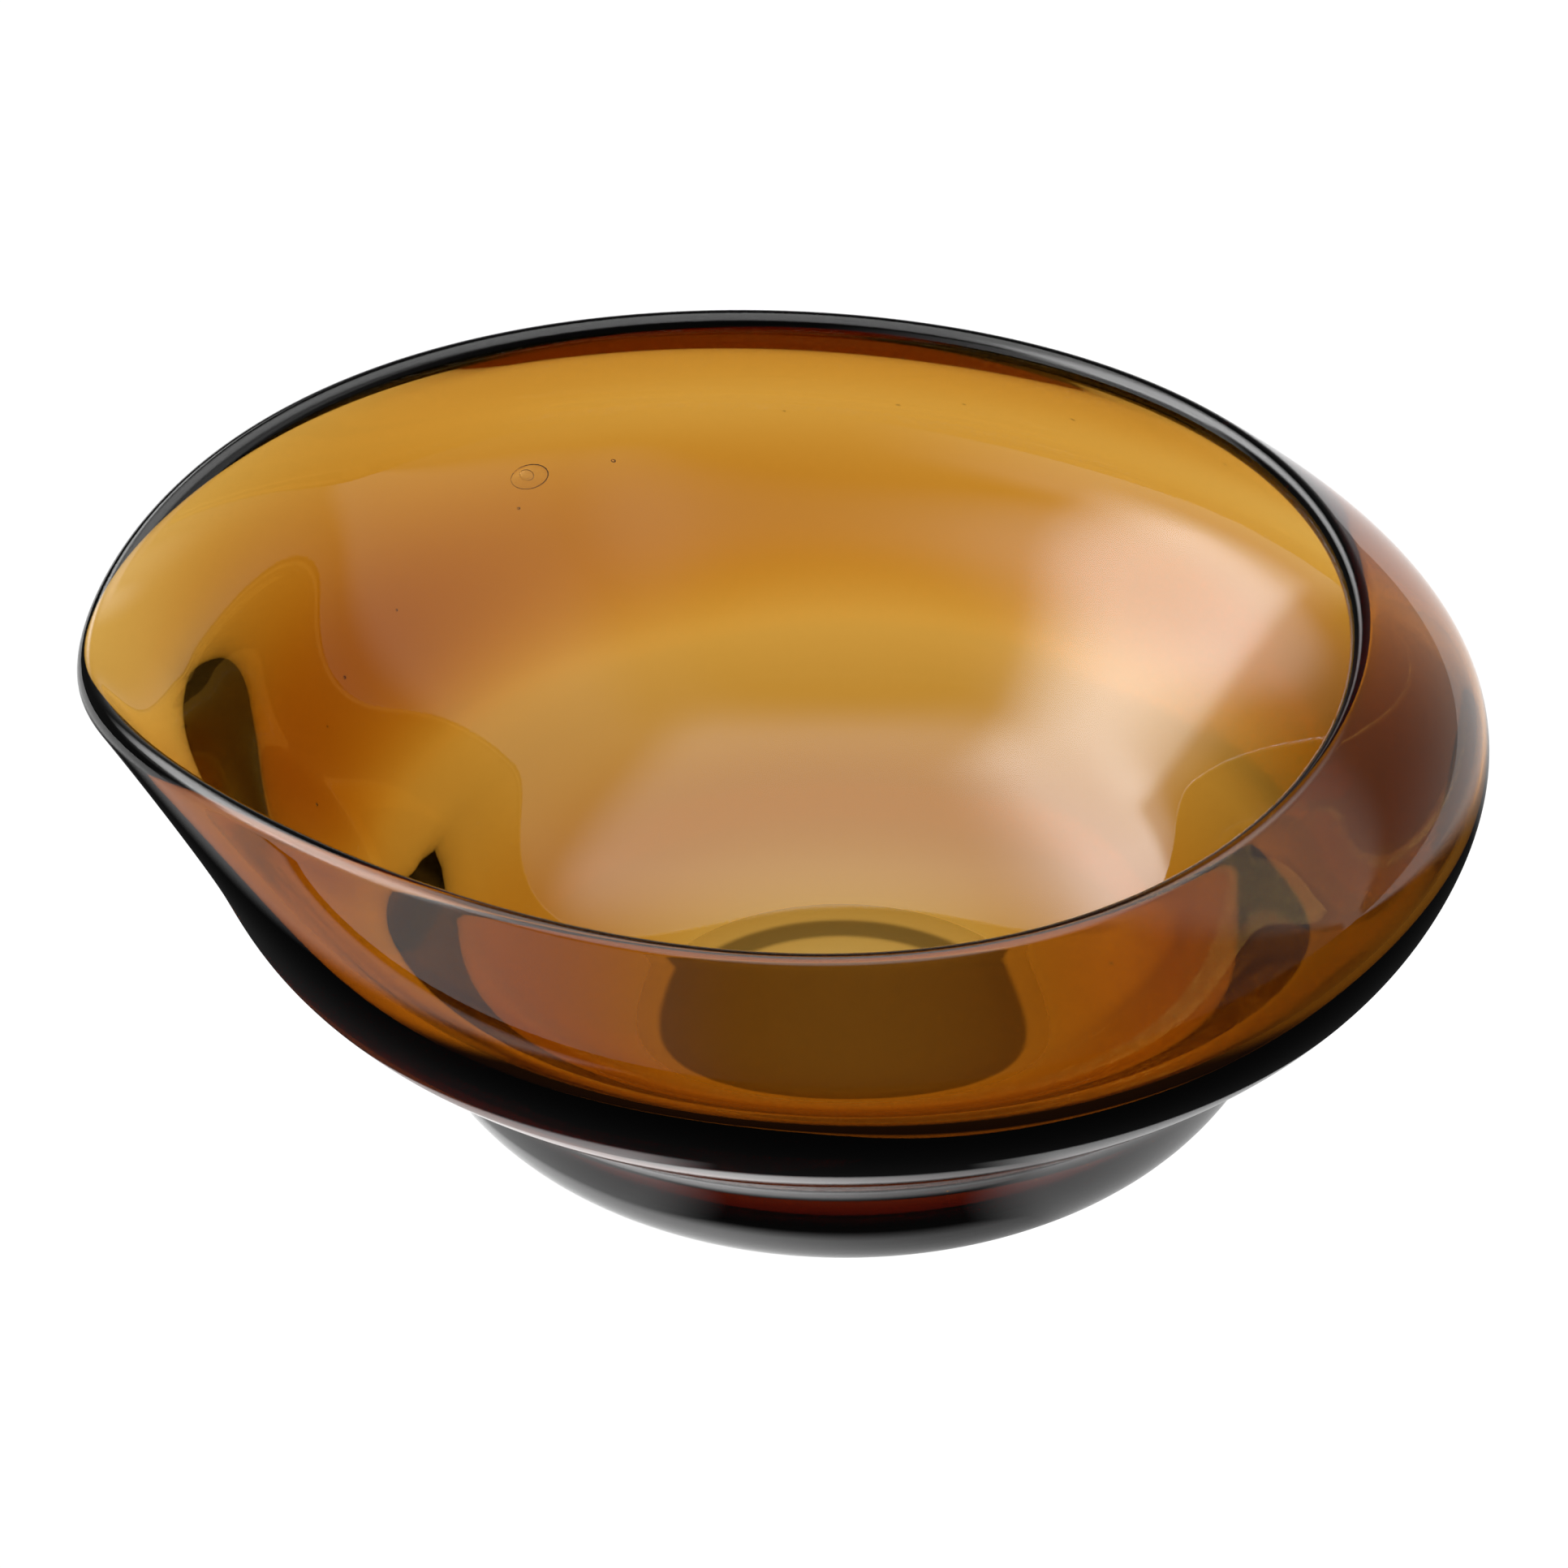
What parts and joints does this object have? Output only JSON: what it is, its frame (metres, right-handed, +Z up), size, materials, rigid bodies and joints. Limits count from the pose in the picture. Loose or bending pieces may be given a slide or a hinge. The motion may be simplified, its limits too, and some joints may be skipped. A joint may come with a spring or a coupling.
{
  "type": "art glass bowl",
  "caption": "Heavy free-blown art glass bowl in amber-brown glass, with a bulging wall, an incurved rim drawn out to a lip on one side, and a low rounded foot with a ground base.",
  "frame": {"origin": "centre of the flat ground base, on the surface that the bowl stands on", "axes": "+Z up, -X towards the drawn-out lip, +X towards the incurved side, and the outside is symmetric about the XZ plane"},
  "size_m": [0.2483, 0.227, 0.098],
  "materials": {
    "wall_glass": "fire polished",
    "foot_glass": "fire polished, with a ground satin base"
  },
  "bodies": {
    "root": {"bowl_wall": "wall_glass", "solid_foot": "foot_glass"}
  },
  "joints": []
}
